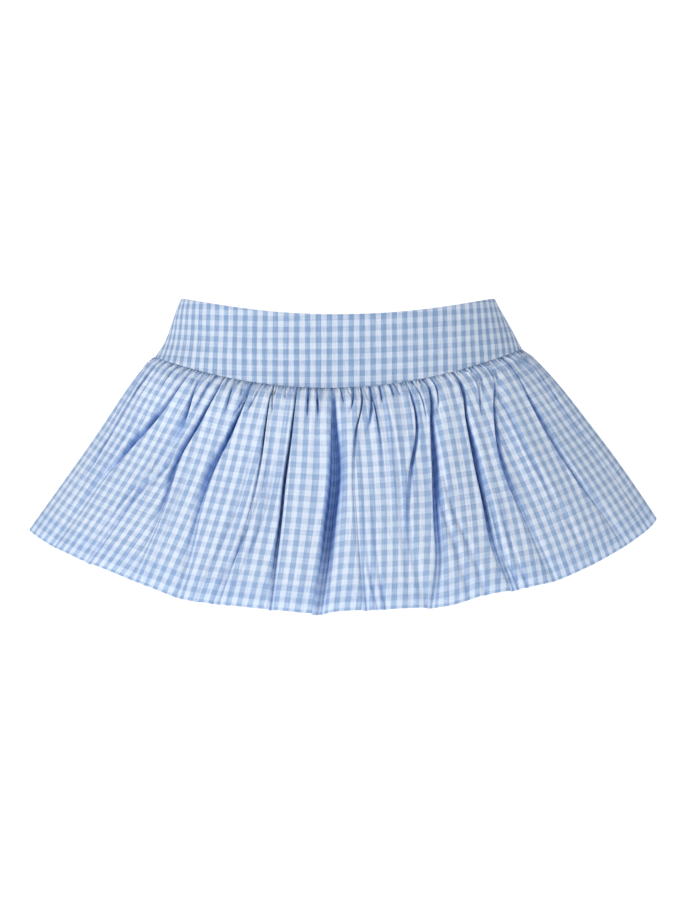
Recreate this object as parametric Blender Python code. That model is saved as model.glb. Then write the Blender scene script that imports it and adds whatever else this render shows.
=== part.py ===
"""A gathered skort in its worn, hollow form: a smooth fitted yoke round the hips, a short gathered skirt
that springs out from the yoke seam, and plain shorts under it.

Metres, +Z up. The origin is the middle of the waist opening, level with the yoke's top edge at the sides.
The front faces -Y, and +X is the wearer's left. Every piece of cloth is a wall, built from its outer
surface inwards. A place on a panel is given by two shares: across, from 0 at the -X side seam to 1 at the
+X side seam, and down, from 0 at the panel's top edge to 1 at its bottom edge.
"""

import math
from collections import namedtuple

import bpy
import numpy as np

MM = 0.001

# Cloth walls, and the gap that parts the pieces at a seam.
YOKE_WALL = 2.5 * MM
SKIRT_WALL = 1.2 * MM
SHORTS_WALL = 1.0 * MM
SEAM_GAP = 0.3 * MM

# A ring round the garment: the place of its middle along X, half its width, its depth in front of and behind
# the side seams, its height at the side seams, how much higher it is at the +X side than the -X side, and how
# far its middle dips below the side seams at the front and at the back.
Ring = namedtuple("Ring", "x half_width front back z lean front_dip back_dip")
WAIST = Ring(0.0, 140 * MM, 84 * MM, 92 * MM, 0.0, 0.0, 17.5 * MM, 12 * MM)
SEAM = Ring(0.5 * MM, 163.5 * MM, 98 * MM, 108 * MM, -48.6 * MM, 7 * MM, 33 * MM, 24 * MM)
HEM = Ring(4.5 * MM, 280 * MM, 155 * MM, 166 * MM, -200.5 * MM, 10 * MM, 71 * MM, 64 * MM)
SHORTS_RISE = Ring(0.5 * MM, 166 * MM, 92 * MM, 102 * MM, -160 * MM, 0.0, 0.0, 0.0)

# How sharply the dip gathers towards the middle of a ring.
FITTED_DIP_POWER = 2.0
HEM_DIP_POWER = 1.5

# How far the front hem hangs above or below its smooth ring at places across the panel, in millimetres.
HemLift = namedtuple("HemLift", "across lift")
FRONT_HEM_LIFTS = (
    HemLift(0.000, 0),
    HemLift(0.050, 2),
    HemLift(0.120, 4),
    HemLift(0.190, 6),
    HemLift(0.250, 3),
    HemLift(0.300, -3),
    HemLift(0.380, -1),
    HemLift(0.460, -3),
    HemLift(0.540, -1),
    HemLift(0.640, -4),
    HemLift(0.665, 1),
    HemLift(0.700, 0),
    HemLift(0.770, -4),
    HemLift(0.860, 0),
    HemLift(0.900, 1),
    HemLift(1.000, 0),
)

# The skirt swells just under its seam, and the swelling dies away downwards. Its middle sways towards +X.
PUFF = 6.5 * MM
PUFF_RISE = 0.03
SWAY = 3 * MM

# Gathers: ridges drawn up along the seam, of uneven width, height and length.
GATHERS = 44
POINTS_PER_GATHER = 4
GATHER_HEIGHT = (1.5 * MM, 2.5 * MM)
GATHER_LENGTH = (0.10, 0.30)
GATHER_UNEVEN = 0.2
GATHER_AT_SEAM = 0.3
GATHER_FULL_AT = 0.035
GATHER_FADES_FROM = 0.25

# Folds: valleys that run down a skirt panel. seam, middle and hem are the valley's place across the panel at
# the seam, half way down and at the hem. starts and ends are shares of the length. depth is its depth, and
# left and right are the widths of its two sides, in millimetres. kept is the share of the depth that is left
# where the fold ends.
Fold = namedtuple("Fold", "seam middle hem starts ends depth left right kept")
FRONT_FOLDS = (
    Fold(0.075, 0.075, 0.090, 0.04, 0.60, 5, 7, 8, 0.1),
    Fold(0.182, 0.138, 0.105, 0.03, 0.80, 14, 6, 9, 0.2),
    Fold(0.206, 0.216, 0.200, 0.03, 0.40, 6, 5, 7, 0.0),
    Fold(0.250, 0.208, 0.168, 0.45, 1.00, 6, 8, 9, 0.8),
    Fold(0.256, 0.236, 0.240, 0.03, 0.80, 10, 6, 8, 0.1),
    Fold(0.315, 0.292, 0.300, 0.05, 0.80, 15, 6, 9, 0.4),
    Fold(0.362, 0.368, 0.362, 0.03, 0.90, 9, 5, 6, 0.5),
    Fold(0.412, 0.413, 0.412, 0.03, 1.00, 16, 6, 8, 0.5),
    Fold(0.487, 0.487, 0.481, 0.05, 1.00, 23, 7, 12, 0.5),
    Fold(0.545, 0.518, 0.534, 0.03, 0.60, 7, 5, 6, 0.5),
    Fold(0.563, 0.560, 0.562, 0.03, 0.45, 6, 5, 6, 0.0),
    Fold(0.642, 0.601, 0.598, 0.04, 0.80, 12, 6, 7, 0.1),
    Fold(0.678, 0.641, 0.618, 0.05, 0.95, 18, 7, 11, 0.5),
    Fold(0.755, 0.703, 0.712, 0.05, 0.85, 19, 7, 9, 0.4),
    Fold(0.815, 0.754, 0.778, 0.06, 0.80, 10, 7, 8, 0.1),
    Fold(0.852, 0.858, 0.882, 0.04, 0.90, 14, 6, 9, 0.4),
    Fold(0.925, 0.920, 0.940, 0.15, 0.80, 6, 7, 8, 0.2),
)
BACK_FOLDS = (
    Fold(0.065, 0.080, 0.090, 0.04, 0.70, 7, 8, 7, 0.2),
    Fold(0.128, 0.150, 0.142, 0.04, 0.90, 13, 9, 7, 0.4),
    Fold(0.190, 0.205, 0.200, 0.03, 0.55, 8, 7, 6, 0.0),
    Fold(0.238, 0.262, 0.285, 0.05, 1.00, 16, 9, 7, 0.5),
    Fold(0.300, 0.318, 0.330, 0.03, 0.60, 8, 6, 7, 0.1),
    Fold(0.345, 0.372, 0.380, 0.05, 0.95, 18, 10, 7, 0.4),
    Fold(0.412, 0.424, 0.436, 0.03, 0.50, 7, 6, 5, 0.0),
    Fold(0.455, 0.470, 0.462, 0.05, 0.90, 15, 7, 9, 0.5),
    Fold(0.528, 0.530, 0.548, 0.05, 1.00, 20, 7, 11, 0.5),
    Fold(0.585, 0.590, 0.600, 0.03, 0.55, 8, 6, 6, 0.1),
    Fold(0.640, 0.628, 0.642, 0.04, 0.85, 14, 6, 9, 0.4),
    Fold(0.702, 0.688, 0.700, 0.03, 0.60, 9, 7, 6, 0.1),
    Fold(0.760, 0.742, 0.735, 0.05, 1.00, 17, 7, 10, 0.5),
    Fold(0.822, 0.802, 0.806, 0.04, 0.60, 9, 6, 8, 0.0),
    Fold(0.880, 0.862, 0.868, 0.04, 0.90, 13, 7, 9, 0.4),
    Fold(0.935, 0.928, 0.920, 0.05, 0.70, 7, 7, 8, 0.2),
)
LONG_FOLD = (0.2, 0.8)
FOLD_RISE = 0.26
FOLD_FADE = 0.45
FOLD_SHOULDER = 0.35
SHOULDER_SPREAD = 3.0
STIFF_SIDE_SEAM = 0.05

# Steps for the curves' lengths and for the skirt's slope.
CURVE_SAMPLES = 721
SLOPE_STEP = 0.002

# Where the rows and columns of points lie on each piece.
YOKE_ROWS = (0.0, 0.34, 0.67, 1.0)
YOKE_COLUMNS = 36
SKIRT_ROWS = (0.0, 0.035, 0.09, 0.17, 0.28, 0.41, 0.57, 0.77, 1.0)
HIP_ROWS = (0.0, 0.25, 0.5, 0.75, 1.0)
LEG_ROWS = (0.3, 0.65, 1.0)
OUTER_LEG_COLUMNS = 36
INNER_LEG_COLUMNS = 12

# Shorts: inside the yoke seam they clear the skirt's wall, then they follow the hips down to the two legs.
# The crotch seam is a U that sags below the end of the hips, and each leg ends in an upright ellipse.
SHORTS_INSET = 2.8 * MM
HIP_SWELL = 5 * MM
CROTCH_SAG = 44 * MM
LEG_X = 85 * MM
LEG_Y = 5 * MM
LEG_HALF_WIDTH = 79 * MM
LEG_HALF_DEPTH = 88 * MM
LEG_HEM_Z = -240 * MM
LEG_INNER_ARC = math.radians(84)

# Colours as linear red, green and blue.
GINGHAM_BLUE = (0.45, 0.58, 0.79)
JERSEY_WHITE = (0.80, 0.83, 0.88)
CLOTH_ROUGHNESS = 0.9


def smooth(low, high, value):
    """0 up to low, 1 from high, and a smooth rise between them."""
    share = np.clip((value - low) / (high - low), 0.0, 1.0)
    return share * share * (3.0 - 2.0 * share)


def uneven(number, salt):
    """A fixed, irregular value from 0 to 1 for each whole number."""
    return np.mod(np.sin(number * 12.9898 + salt * 78.233) * 43758.5453, 1.0)


def depth_of(ring, facing):
    return ring.front if facing < 0 else ring.back


def dip_of(ring, facing):
    return ring.front_dip if facing < 0 else ring.back_dip


def angle_at(across, ring, facing):
    """The angle round half a ring at which a share of its length is reached, from -90 to 90 degrees."""
    angle = np.linspace(-math.pi / 2, math.pi / 2, CURVE_SAMPLES)
    speed = np.hypot(ring.half_width * np.cos(angle), depth_of(ring, facing) * np.sin(angle))
    length = np.concatenate([[0.0], np.cumsum((speed[1:] + speed[:-1]) / 2)])
    return np.interp(across, length / length[-1], angle)


def ring_points(ring, facing, angle, power, inset=0.0):
    """Points of half a ring, at angles from its middle. facing is -1 for the front and 1 for the back."""
    level = np.clip(np.cos(angle), 0.0, 1.0)
    x = ring.x + (ring.half_width - inset) * np.sin(angle)
    y = facing * ((depth_of(ring, facing) - inset) * level + SEAM_GAP / 2)
    z = ring.z + ring.lean / 2 * np.sin(angle) - dip_of(ring, facing) * level**power
    return np.stack([x, y, z], axis=-1)


def yoke_surface(facing, across, down):
    """The yoke's outer surface, from the waist to the seam."""
    angle = angle_at(across, SEAM, facing)
    top = ring_points(WAIST, facing, angle, FITTED_DIP_POWER)
    bottom = ring_points(SEAM, facing, angle, FITTED_DIP_POWER)
    return top + (bottom - top) * down[..., None]


def skirt_base(facing, across, down):
    """The skirt's smooth form, before gathers and folds."""
    seam_angle = angle_at(across, SEAM, facing)
    angle = seam_angle + (angle_at(across, HEM, facing) - seam_angle) * down
    top = ring_points(SEAM, facing, angle, FITTED_DIP_POWER)
    bottom = ring_points(HEM, facing, angle, HEM_DIP_POWER)
    points = top + (bottom - top) * down[..., None]
    points[..., 2] -= SEAM_GAP
    if facing < 0:
        places, lifts = zip(*FRONT_HEM_LIFTS)
        points[..., 2] += np.interp(across, places, lifts) * MM * down**2
    puff = PUFF * (1.0 - np.exp(-down / PUFF_RISE)) * (1.0 - down**2)
    points[..., 0] += puff * np.sin(angle) + SWAY * np.sin(math.pi * down)
    points[..., 1] += facing * puff * np.cos(angle)
    return points


def skirt_outward(facing, across, down):
    """The outward direction of the skirt's smooth form, turned level towards the seam."""
    right, left = across + SLOPE_STEP, across - SLOPE_STEP
    along = skirt_base(facing, right, down) - skirt_base(facing, left, down)
    fall = skirt_base(facing, across, down + SLOPE_STEP) - skirt_base(facing, across, down - SLOPE_STEP)
    normal = np.cross(fall, along) * -facing
    normal[..., 2] *= smooth(0.0, GATHER_FULL_AT, down)
    return normal / np.linalg.norm(normal, axis=-1, keepdims=True)


def troughs(facing):
    """The places along the seam between one gather and the next."""
    number = np.arange(1, GATHERS)
    moved = (2.0 * uneven(number, 3 + facing) - 1.0) * GATHER_UNEVEN
    return np.concatenate([[0.0], (number + moved) / GATHERS, [1.0]])


def gather_height(facing, columns, down):
    """How far the gathers stand out from the smooth form. They run down along the columns."""
    edges = troughs(facing)
    number = np.clip(np.searchsorted(edges, columns, side="right") - 1, 0, GATHERS - 1)
    share = (columns - edges[number]) / (edges[number + 1] - edges[number])
    low, high = GATHER_HEIGHT
    height = low + (high - low) * uneven(number, 7 + facing)
    short, long = GATHER_LENGTH
    reach = short + (long - short) * uneven(number, 11 + facing) ** 2
    rise = GATHER_AT_SEAM + (1.0 - GATHER_AT_SEAM) * smooth(0.0, GATHER_FULL_AT, down)
    fade = 1.0 - smooth(GATHER_FADES_FROM * reach, reach, down)
    return height * rise * fade * np.sin(math.pi * share) ** 2


def half_length(facing, down):
    """About how long half a ring of the skirt is at each height."""
    half_width = SEAM.half_width + (HEM.half_width - SEAM.half_width) * down
    depth = depth_of(SEAM, facing) + (depth_of(HEM, facing) - depth_of(SEAM, facing)) * down
    return math.pi * np.sqrt((half_width**2 + depth**2) / 2)


def folds_of(facing):
    return FRONT_FOLDS if facing < 0 else BACK_FOLDS


def fold_centre(fold, down):
    """A fold's place across the panel at each height: a parabola through the three places of its row."""
    bend = 4 * fold.middle - 3 * fold.seam - fold.hem
    return fold.seam + bend * down + (fold.hem - fold.seam - bend) * down**2


def fold_depth(facing, across, down):
    """How far the folds sink below the smooth form."""
    total = np.zeros_like(across)
    for fold in folds_of(facing):
        off = (across - fold_centre(fold, down)) * half_length(facing, down)
        width = np.where(off < 0, fold.left, fold.right) * MM
        crease = np.exp(-((off / width) ** 2))
        shoulder = (1.0 + (off / (SHOULDER_SPREAD * width)) ** 2) ** -2
        form = (1.0 - FOLD_SHOULDER) * crease + FOLD_SHOULDER * shoulder
        opened = smooth(fold.starts, fold.starts + FOLD_RISE, down)
        closed = (1.0 - fold.kept) * smooth(fold.ends - FOLD_FADE, fold.ends, down)
        total += fold.depth * MM * opened * (1.0 - closed) * form
    return total * smooth(0.0, STIFF_SIDE_SEAM, np.minimum(across, 1.0 - across))


def along_folds(facing, columns, down):
    """Where the columns of a skirt panel have got to at a height, as they run down along the long folds."""
    before, after = LONG_FOLD
    long_folds = [fold for fold in folds_of(facing) if fold.starts <= before and fold.ends >= after]
    starts = [0.0, *(fold.seam for fold in long_folds), 1.0]
    places = [0.0, *(fold_centre(fold, down) for fold in long_folds), 1.0]
    return np.interp(columns, starts, places)


def skirt_surface(facing, columns, down):
    """The skirt's outer surface, with its gathers and folds. Each row of columns has one height."""
    across = np.array([along_folds(facing, row, heights[0]) for row, heights in zip(columns, down)])
    away = gather_height(facing, columns, down) - fold_depth(facing, across, down)
    return skirt_base(facing, across, down) + away[..., None] * skirt_outward(facing, across, down)


def gathered_columns(facing):
    """The columns of a skirt panel: every trough, every crest and the slopes between them."""
    edges = troughs(facing)
    part = np.arange(POINTS_PER_GATHER) / POINTS_PER_GATHER
    inside = edges[:-1, None] + (edges[1:] - edges[:-1])[:, None] * part
    return np.append(inside.ravel(), 1.0)


def shorts_ring(ring, inset, side, turn):
    """Half a ring round one side of the shorts. turn goes from 0 at the front to 180 degrees behind."""
    front = ring_points(ring, -1, side * turn, FITTED_DIP_POWER, inset)
    back = ring_points(ring, 1, side * (math.pi - turn), FITTED_DIP_POWER, inset)
    return np.where(turn[:, None] <= math.pi / 2, front, back)


def shorts_rings(side):
    """The rings of one half of the shorts, from the top. side is 1 for the +X leg and -1 for the -X leg.

    The hip rings are open at the middle of the garment. The leg rings are closed, and start as the last hip
    ring with the crotch seam added to it."""
    turn = np.linspace(0.0, math.pi, OUTER_LEG_COLUMNS + 1)
    top = shorts_ring(SEAM, SHORTS_INSET, side, turn)
    top[:, 2] -= SEAM_GAP
    rise = shorts_ring(SHORTS_RISE, 0.0, side, turn)
    hips = [top + (rise - top) * down for down in HIP_ROWS]
    for ring, down in zip(hips, HIP_ROWS):
        ring[:, 0] += side * HIP_SWELL * math.sin(math.pi * down) * np.sin(turn)
        ring[0, 0] = ring[-1, 0] = side * SEAM_GAP / 2

    sag = np.linspace(0.0, math.pi, INNER_LEG_COLUMNS + 1)[1:-1]
    behind, before = hips[-1][-1], hips[-1][0]
    share = (1.0 - np.cos(sag)) / 2
    crotch = behind + (before - behind) * share[:, None]
    crotch[:, 2] -= CROTCH_SAG * np.sin(sag)
    crotch_ring = np.concatenate([hips[-1], crotch])

    outer = np.linspace(LEG_INNER_ARC / 2 - math.pi / 2, math.pi * 3 / 2 - LEG_INNER_ARC / 2, len(turn))
    inner = np.linspace(outer[-1], outer[0] + 2 * math.pi, INNER_LEG_COLUMNS + 1)[1:-1]
    angle = np.concatenate([outer, inner])
    x = side * (LEG_X + LEG_HALF_WIDTH * np.sin(angle))
    y = LEG_Y - LEG_HALF_DEPTH * np.cos(angle)
    hem_ring = np.stack([x, y, np.full_like(angle, LEG_HEM_Z)], axis=-1)
    legs = [crotch_ring + (hem_ring - crotch_ring) * down for down in LEG_ROWS]
    return hips, crotch, legs


def cloth_material(name, colour):
    material = bpy.data.materials.new(name)
    material.use_nodes = True
    shader = material.node_tree.nodes["Principled BSDF"]
    shader.inputs["Base Color"].default_value = (*colour, 1.0)
    shader.inputs["Roughness"].default_value = CLOTH_ROUGHNESS
    shader.inputs["Metallic"].default_value = 0.0
    material.diffuse_color = (*colour, 1.0)
    return material


def outward_normals(points, faces):
    """The outward direction at each point of an open surface."""
    sheet = bpy.data.meshes.new("sheet")
    sheet.from_pydata(points.tolist(), [], faces)
    normals = np.empty(points.size)
    sheet.vertex_normals.foreach_get("vector", normals)
    bpy.data.meshes.remove(sheet)
    return normals.reshape(-1, 3)


def cloth_object(name, outer, faces, cut_edges, wall, plane_axis, side, material):
    """A closed wall of cloth, as an object.

    The wall is cut level at the points in cut_edges. It stays on its own side of the seam plane that runs
    through the middle of the garment, square to plane_axis."""
    away = outward_normals(outer, faces)
    away[cut_edges, 2] = 0.0
    away[cut_edges] /= np.sum(away[cut_edges] ** 2, axis=1, keepdims=True)
    inner = outer - wall * away
    inner[:, plane_axis] = side * np.maximum(side * inner[:, plane_axis], SEAM_GAP / 2)

    count = len(outer)
    inside = [tuple(corner + count for corner in reversed(face)) for face in faces]
    edges = {edge for face in faces for edge in zip(face, face[1:] + face[:1])}
    rims = [(b, a, a + count, b + count) for a, b in sorted(edges) if (b, a) not in edges]
    mesh = bpy.data.meshes.new(name)
    mesh.from_pydata(np.concatenate([outer, inner]).tolist(), [], faces + inside + rims)
    mesh.materials.append(material)
    mesh.shade_smooth()
    piece = bpy.data.objects.new(name, mesh)
    bpy.context.scene.collection.objects.link(piece)
    return piece


def strip_faces(above, below, closed=False):
    """Faces between two rows of point numbers, which go on round to their start if closed."""
    ends = zip(above + above[:1], above[1:] + above[:1], below[1:] + below[:1], below)
    faces = [(a, d, c, b) for a, b, c, d in ends]
    return faces if closed else faces[:-1]


def make_panel(name, surface, facing, columns, rows, wall, material):
    """A yoke or skirt panel, from the surface function that gives its form."""
    across, down = np.meshgrid(columns, rows)
    points = surface(facing, across, down).reshape(-1, 3)
    numbers = np.arange(len(points)).reshape(across.shape)
    lists = numbers.tolist()
    faces = [face for above, below in zip(lists, lists[1:]) for face in strip_faces(above, below)]
    if facing > 0:
        faces = [face[::-1] for face in faces]
    cut_edges = np.concatenate([numbers[0], numbers[-1]])
    return cloth_object(name, points, faces, cut_edges, wall, 1, facing, material)


def make_shorts(name, side, material):
    """One half of the shorts."""
    hips, crotch, legs = shorts_rings(side)
    points = np.concatenate([*hips, crotch, *legs])
    sizes = [len(ring) for ring in (*hips, crotch, *legs)]
    ends = np.cumsum(sizes).tolist()
    rows = [list(range(end - size, end)) for end, size in zip(ends, sizes)]
    hip_rows = rows[: len(hips)]
    leg_rows = [hip_rows[-1] + rows[len(hips)], *rows[len(hips) + 1 :]]
    faces = [face for above, below in zip(hip_rows, hip_rows[1:]) for face in strip_faces(above, below)]
    for above, below in zip(leg_rows, leg_rows[1:]):
        faces += strip_faces(above, below, closed=True)
    if side < 0:
        faces = [face[::-1] for face in faces]
    cut_edges = np.array(hip_rows[0] + leg_rows[-1])
    return cloth_object(name, points, faces, cut_edges, SHORTS_WALL, 0, side, material)


def main():
    for old in list(bpy.data.objects):
        bpy.data.objects.remove(old)
    gingham = cloth_material("gingham", GINGHAM_BLUE)
    jersey = cloth_material("jersey", JERSEY_WHITE)
    yoke_columns = np.linspace(0.0, 1.0, YOKE_COLUMNS + 1)
    for word, facing in (("front", -1), ("back", 1)):
        skirt_columns = gathered_columns(facing)
        make_panel(f"yoke_{word}", yoke_surface, facing, yoke_columns, YOKE_ROWS, YOKE_WALL, gingham)
        make_panel(f"skirt_{word}", skirt_surface, facing, skirt_columns, SKIRT_ROWS, SKIRT_WALL, gingham)
    make_shorts("shorts_left", 1, jersey)
    make_shorts("shorts_right", -1, jersey)


main()
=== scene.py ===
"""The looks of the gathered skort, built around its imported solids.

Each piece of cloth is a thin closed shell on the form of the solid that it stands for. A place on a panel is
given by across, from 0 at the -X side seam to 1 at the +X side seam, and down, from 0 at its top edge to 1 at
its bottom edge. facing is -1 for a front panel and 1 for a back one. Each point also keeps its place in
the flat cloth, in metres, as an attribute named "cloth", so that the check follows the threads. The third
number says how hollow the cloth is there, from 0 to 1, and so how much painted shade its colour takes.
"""

import math
from collections import namedtuple

import bpy
import numpy as np
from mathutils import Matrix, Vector


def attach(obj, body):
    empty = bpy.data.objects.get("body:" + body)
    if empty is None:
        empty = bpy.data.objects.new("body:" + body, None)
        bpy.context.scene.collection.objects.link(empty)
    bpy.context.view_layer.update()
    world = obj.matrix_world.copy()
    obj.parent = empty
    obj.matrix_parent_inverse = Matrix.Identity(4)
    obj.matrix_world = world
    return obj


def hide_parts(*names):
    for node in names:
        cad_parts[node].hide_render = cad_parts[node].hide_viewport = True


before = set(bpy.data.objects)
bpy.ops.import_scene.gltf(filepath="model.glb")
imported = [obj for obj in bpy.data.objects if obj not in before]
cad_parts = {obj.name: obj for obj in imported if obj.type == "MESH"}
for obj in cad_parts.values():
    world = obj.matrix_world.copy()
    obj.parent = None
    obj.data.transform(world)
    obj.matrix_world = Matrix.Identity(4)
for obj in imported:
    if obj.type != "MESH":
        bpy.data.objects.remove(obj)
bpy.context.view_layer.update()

MM = 0.001

# ----- the garment's form

# The garment's rings, as in its solids: the place of the middle along X, half the width, the depth in front
# of and behind the side seams, the height at the side seams, how much higher the +X side is, and how far the
# middle dips below the side seams at the front and at the back.
Ring = namedtuple("Ring", "x half_width front back z lean front_dip back_dip")
WAIST = Ring(0.0, 140 * MM, 84 * MM, 92 * MM, 0.0, 0.0, 17.5 * MM, 12 * MM)
SEAM = Ring(0.5 * MM, 163.5 * MM, 98 * MM, 108 * MM, -48.6 * MM, 7 * MM, 33 * MM, 24 * MM)
HEM = Ring(4.5 * MM, 280 * MM, 155 * MM, 166 * MM, -200.5 * MM, 10 * MM, 71 * MM, 64 * MM)
SHORTS_RISE = Ring(0.5 * MM, 166 * MM, 92 * MM, 102 * MM, -160 * MM, 0.0, 0.0, 0.0)
FITTED_DIP_POWER = 2.0
HEM_DIP_POWER = 1.5

SIDE_SEAM_GAP = 0.3 * MM
YOKE_SEAM_GAP = 0.06 * MM

# How far the front hem hangs above its smooth ring at places across the panel, in millimetres, averaged over
# small steps so that it has no corners.
HEM_PLACES = (
    0.016, 0.050, 0.120, 0.190, 0.250, 0.300, 0.360, 0.420, 0.465, 0.505, 0.560,
    0.600, 0.620, 0.635, 0.650, 0.668, 0.700, 0.770, 0.860, 0.900, 1.000,
)
HEM_LIFTS = (0, 3, 6, 7, 4, -1, 1, 1, -1, 2, 1, 0, -2, -3, 0, 2, 1, -3, 0, 1, 0)
HEM_LIFT_STEPS = (-0.016, -0.008, 0.0, 0.008, 0.016)

# The yoke's -X side curves in between its edges, as far as halfway to the middle of the panel.
YOKE_SIDE_HOLLOW = 2.8 * MM
YOKE_HOLLOW_REACH = (0.5, 1.0)
YOKE_HOLLOW_POWER = 1.6

# The skirt puffs out below its seam, sways towards +X, and has sharper rings at the sides.
PUFF = 6.5 * MM
PUFF_RISE = 0.045
SIDE_PUFF_RISE = 0.16
SIDE_PUFF_POWER = 8
SWAY = 3 * MM
SIDE_SHARPNESS = 0.35
SIDE_SHARPENS = (0.0, 0.4)

SEAM_SWELL = 2.2 * MM
SWELL_RISES = (0.0, 0.05)
SWELL_FADES = (0.1, 0.5)

# The flat cloth: the periods of the check, and the cut of each piece.
CHECK = 9.45 * MM
YOKE_CHECK_DOWN = 9.8 * MM
SKIRT_CUT_WIDTH = 83 * CHECK
SKIRT_CUT_LENGTH = 20 * CHECK
YOKE_CUT = (0.425, 66 * MM)
HEM_TURN_UP = 22 * MM

# Near the side seams the cloth lies flatter, so that the check shows larger.
SIDE_EASE = 0.35
SIDE_EASE_WIDTH = 0.07

# How far the yoke's rows of check rise at the sides, along its top and its seam, and lean.
YOKE_ROWS_RISE = (6 * MM, 11 * MM)
YOKE_ROWS_LEAN = 3.5 * MM

# The shells' thicknesses.
CLOTH = 0.5 * MM
HEM_CLOTH = 1.0 * MM
YOKE_WALL = 1.1 * MM
JERSEY = 0.7 * MM
HEM_JERSEY = 1.0 * MM

# ----- folds and gathers

# Folds of a skirt panel. place is where the valley lies across the panel at each station down it, and depth
# is how deep it is there in millimetres. left and right are the half widths of the valley's floor, shoulder
# the depth of the wide hollow round it, and lip how far its left edge (or its right one, if below 0) leans
# over it, all in millimetres. spread is how much wider it gets towards the hem.
STATIONS = (0.04, 0.20, 0.40, 0.60, 0.80, 1.00)
Fold = namedtuple("Fold", "place depth left right shoulder lip spread")
FRONT_FOLDS = (
    Fold((0.075, 0.070, 0.072, 0.077, 0.084, 0.090), (4, 5, 3, 2, 1, 0), 1.4, 1.8, 1, 0, 1.6),
    Fold((0.177, 0.163, 0.133, 0.113, 0.107, 0.100), (12, 16, 9, 5, 3, 2), 2.4, 3.4, 2, 1, 0.8),
    Fold((0.210, 0.215, 0.210, 0.203, 0.196, 0.190), (10, 8, 2, 1, 0, 0), 2.2, 2.8, 1, 0, 0.8),
    Fold((0.242, 0.240, 0.222, 0.190, 0.175, 0.165), (0, 1, 3, 4, 4, 4), 1.6, 2.0, 1, 0, 0.4),
    Fold((0.258, 0.245, 0.226, 0.232, 0.234, 0.233), (8, 13, 9, 5, 2, 1), 1.5, 2.8, 2, 0, 0.8),
    Fold((0.320, 0.307, 0.287, 0.285, 0.292, 0.295), (9, 18, 11, 6, 4, 2), 1.9, 3.2, 2, 1, 0.8),
    Fold((0.366, 0.366, 0.365, 0.362, 0.354, 0.345), (6, 9, 4, 2.5, 3, 2), 0.8, 1.2, 1, 0, 1.0),
    Fold((0.415, 0.411, 0.405, 0.406, 0.407, 0.411), (7, 15, 19, 14, 8, 4), 0.8, 2.1, 2, 1, 0.6),
    Fold((0.486, 0.481, 0.475, 0.469, 0.467, 0.464), (12, 28, 36, 30, 16, 9), 1.3, 8.6, 3, 3, 0.1),
    Fold((0.545, 0.525, 0.515, 0.516, 0.521, 0.528), (8, 5, 2, 1.2, 3, 5), 1.1, 1.7, 1, 0, 0.6),
    Fold((0.565, 0.565, 0.562, 0.560, 0.560, 0.560), (6, 3, 0.5, 0, 0, 0), 1.0, 1.4, 1, 0, 1.6),
    Fold((0.640, 0.633, 0.605, 0.590, 0.592, 0.600), (8, 11, 6, 4, 3, 2), 1.2, 1.8, 2, 0, 1.6),
    Fold((0.676, 0.657, 0.640, 0.628, 0.621, 0.604), (10, 18, 19, 12, 7, 5), 1.3, 4.6, 2, 2, 0.4),
    Fold((0.743, 0.723, 0.710, 0.703, 0.699, 0.711), (10, 19, 18, 14, 8, 6), 1.3, 3.0, 2, 2, 0.6),
    Fold((0.815, 0.780, 0.756, 0.753, 0.758, 0.768), (7, 12, 9, 6, 4, 2), 1.2, 2.2, 2, 0, 1.6),
    Fold((0.870, 0.858, 0.855, 0.860, 0.871, 0.882), (6, 11, 10, 7, 4, 2), 1.2, 2.2, 2, 1, 1.2),
    Fold((0.928, 0.926, 0.927, 0.934, 0.941, 0.945), (3, 5, 5, 3, 2, 1), 1.4, 2.0, 1, 0, 1.6),
)
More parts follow.
